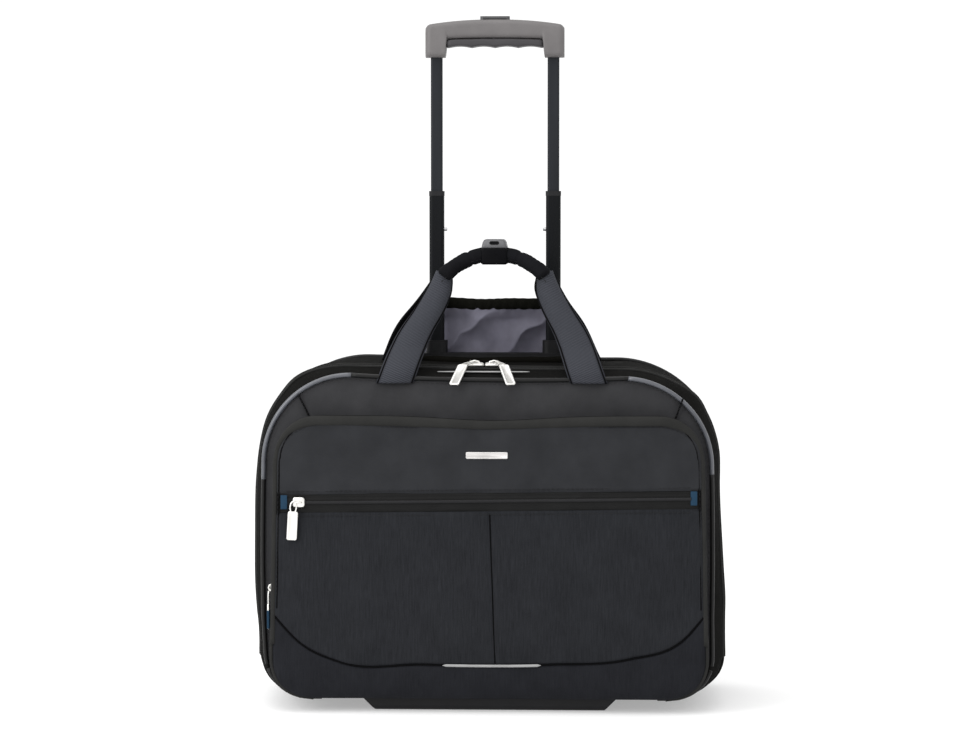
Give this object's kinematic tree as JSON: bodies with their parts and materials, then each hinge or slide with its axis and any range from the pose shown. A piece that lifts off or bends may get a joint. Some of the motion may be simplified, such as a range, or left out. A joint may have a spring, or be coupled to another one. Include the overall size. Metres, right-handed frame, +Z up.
{
  "type": "pilot rolling flight case",
  "caption": "Soft-sided wheeled pilot case with a fold-down front, zipped front pocket, twin padded carry handles and a telescopic trolley.",
  "frame": {"origin": "centre of the footprint on the floor, midway between the front pocket and the back of the wheels", "axes": "+X to the right facing the front pocket, +Y from the front pocket to the back, +Z up along the trolley"},
  "size_m": [0.4512, 0.2189, 0.662],
  "materials": {
    "body_fabric": "matte ballistic weave",
    "front_fabric": "matte weave",
    "slub_fabric": "matte slub weave",
    "pocket_fabric": "matte weave with a slight sheen",
    "lining": "smooth lining",
    "stiff_board": "matte",
    "black_plastic": "fine moulded grain",
    "hub_plastic": "satin",
    "tube_outer": "black anodised",
    "tube_inner": "dark grey anodised",
    "steel": "plain",
    "dark_screw": "blackened",
    "piping": "satin",
    "reflective": "satin retroreflective tape",
    "zip_tape": "matte woven tape",
    "plate_metal": "satin",
    "pull_metal": "satin nickel",
    "blue_tab": "woven",
    "webbing": "twill webbing",
    "grip_fabric": "padded smooth fabric",
    "trolley_grip": "satin moulded",
    "button_plastic": "satin",
    "tyre": "matte",
    "flap_lining": "crinkled smooth lining",
    "elastic": "gathered binding"
  },
  "bodies": {
    "case": {"gusset": "body_fabric", "back_panel": "body_fabric", "front_base": "body_fabric", "base_board": "stiff_board", "divider_lining": "lining", "trolley_housing": "black_plastic", "tube_foot": "black_plastic", "fixed_tubes": "tube_outer", "wheel_housing_left": "black_plastic", "wheel_housing_right": "black_plastic", "wheel_axles": "steel", "front_foot": "black_plastic", "kick_plate": "black_plastic", "kick_plate_screws": "dark_screw", "back_piping": "piping", "main_zip_tape_rear": "zip_tape"},
    "lid": {"front_shell": "body_fabric", "front_board": "front_fabric", "front_piping": "piping", "reflective_piping": "reflective", "reflective_strips": "reflective", "main_zip_tape_front": "zip_tape", "pocket_zip_tape": "zip_tape", "lower_pocket": "slub_fabric"},
    "pocket_panel": {"pocket_shell": "pocket_fabric", "nameplate": "plate_metal", "face_zip_tape": "zip_tape", "zip_end_tabs": "blue_tab"},
    "left_main_slider": {"main_slider_left": "pull_metal"},
    "right_main_slider": {"main_slider_right": "pull_metal"},
    "left_main_pull": {"main_pull_left": "pull_metal"},
    "right_main_pull": {"main_pull_right": "pull_metal"},
    "face_zip_slider": {"face_slider": "pull_metal"},
    "face_zip_pull": {"face_pull": "pull_metal"},
    "side_zip_slider": {"side_slider": "pull_metal"},
    "side_zip_pull": {"side_pull": "pull_metal"},
    "front_handle": {"front_straps": "webbing", "front_grip": "grip_fabric", "front_clip": "black_plastic"},
    "rear_handle": {"rear_straps": "webbing", "rear_grip": "grip_fabric", "rear_clip": "black_plastic"},
    "middle_stage": {"middle_tubes": "tube_outer", "middle_caps": "black_plastic"},
    "inner_stage": {"inner_tubes": "tube_inner", "grip_lower_shell": "trolley_grip", "grip_top_shell": "trolley_grip", "button_spring": "steel"},
    "trolley_button": {"release_button": "button_plastic", "push_rods": "steel"},
    "left_lock_pin": {"lock_pin_left": "steel"},
    "right_lock_pin": {"lock_pin_right": "steel"},
    "left_wheel": {"tyre_left": "tyre", "hub_left": "hub_plastic", "bearings_left": "steel"},
    "right_wheel": {"tyre_right": "tyre", "hub_right": "hub_plastic", "bearings_right": "steel"},
    "cover_flap": {"flap_panel": "flap_lining", "flap_elastic": "elastic"}
  },
  "joints": [
    {"name": "lid_fold", "type": "hinge", "parent": "case", "child": "lid", "pos_m": [0, -0.0842, 0.042], "axis": [1, 0, 0], "range_deg": [0, 60]},
    {"name": "pocket_fold", "type": "hinge", "parent": "lid", "child": "pocket_panel", "pos_m": [0, -0.1045, 0.1108], "axis": [1, 0, 0], "range_deg": [0, 45]},
    {"name": "left_main_zip", "type": "slide", "parent": "lid", "child": "left_main_slider", "axis": [-1, 0, 0], "range_m": [0, 0.12]},
    {"name": "left_main_pull_swing", "type": "hinge", "parent": "left_main_slider", "child": "left_main_pull", "pos_m": [-0.0178, -0.0506, 0.3282], "axis": [-0.848, 0.5299, 0], "range_deg": [0, 140]},
    {"name": "right_main_zip", "type": "slide", "parent": "lid", "child": "right_main_slider", "axis": [1, 0, 0], "range_m": [0, 0.12]},
    {"name": "right_main_pull_swing", "type": "hinge", "parent": "right_main_slider", "child": "right_main_pull", "pos_m": [0.0058, -0.0506, 0.3282], "axis": [-0.848, -0.5299, 0], "range_deg": [0, 140]},
    {"name": "face_zip", "type": "slide", "parent": "pocket_panel", "child": "face_zip_slider", "axis": [0.9999, 0, 0.0129], "range_m": [0, 0.355]},
    {"name": "face_pull_swing", "type": "hinge", "parent": "face_zip_slider", "child": "face_zip_pull", "pos_m": [-0.1814, -0.1078, 0.1924], "axis": [-1, 0, 0], "range_deg": [0, 120]},
    {"name": "side_zip", "type": "slide", "parent": "lid", "child": "side_zip_slider", "axis": [0, 0, 1], "range_m": [0, 0.1]},
    {"name": "side_pull_swing", "type": "hinge", "parent": "side_zip_slider", "child": "side_zip_pull", "pos_m": [-0.208, -0.093, 0.1082], "axis": [0, 1, 0], "range_deg": [0, 120]},
    {"name": "front_handle_swing", "type": "hinge", "parent": "lid", "child": "front_handle", "pos_m": [0, -0.0855, 0.3173], "axis": [1, 0, 0], "range_deg": [0, 170]},
    {"name": "rear_handle_swing", "type": "hinge", "parent": "case", "child": "rear_handle", "pos_m": [0, 0.052, 0.327], "axis": [-1, 0, 0], "range_deg": [0, 22]},
    {"name": "cover_flap_fold", "type": "hinge", "parent": "case", "child": "cover_flap", "pos_m": [0, 0.0894, 0.3308], "axis": [-1, 0, 0], "range_deg": [0, 150]},
    {"name": "trolley_middle_slide", "type": "slide", "parent": "case", "child": "middle_stage", "axis": [0, 0, 1], "range_m": [-0.145, 0.1]},
    {"name": "trolley_inner_slide", "type": "slide", "parent": "middle_stage", "child": "inner_stage", "axis": [0, 0, 1], "range_m": [-0.13, 0]},
    {"name": "release_press", "type": "slide", "parent": "inner_stage", "child": "trolley_button", "axis": [0, 0, -1], "range_m": [0, 0.004], "stiffness_N_per_m": 700, "springref_m": -0.003, "deforming": ["button_spring"]},
    {"name": "left_pin_retract", "type": "slide", "parent": "inner_stage", "child": "left_lock_pin", "axis": [-1, 0, 0], "range_m": [0, 0.003]},
    {"name": "right_pin_retract", "type": "slide", "parent": "inner_stage", "child": "right_lock_pin", "axis": [1, 0, 0], "range_m": [0, 0.003]},
    {"name": "left_wheel_spin", "type": "hinge", "parent": "case", "child": "left_wheel", "pos_m": [-0.178, 0.0775, 0.032], "axis": [1, 0, 0], "continuous": true},
    {"name": "right_wheel_spin", "type": "hinge", "parent": "case", "child": "right_wheel", "pos_m": [0.178, 0.0775, 0.032], "axis": [1, 0, 0], "continuous": true}
  ],
  "couplings": [
    {"joint": "left_pin_retract", "follows": "release_press", "ratio": 0.75},
    {"joint": "right_pin_retract", "follows": "release_press", "ratio": 0.75}
  ]
}
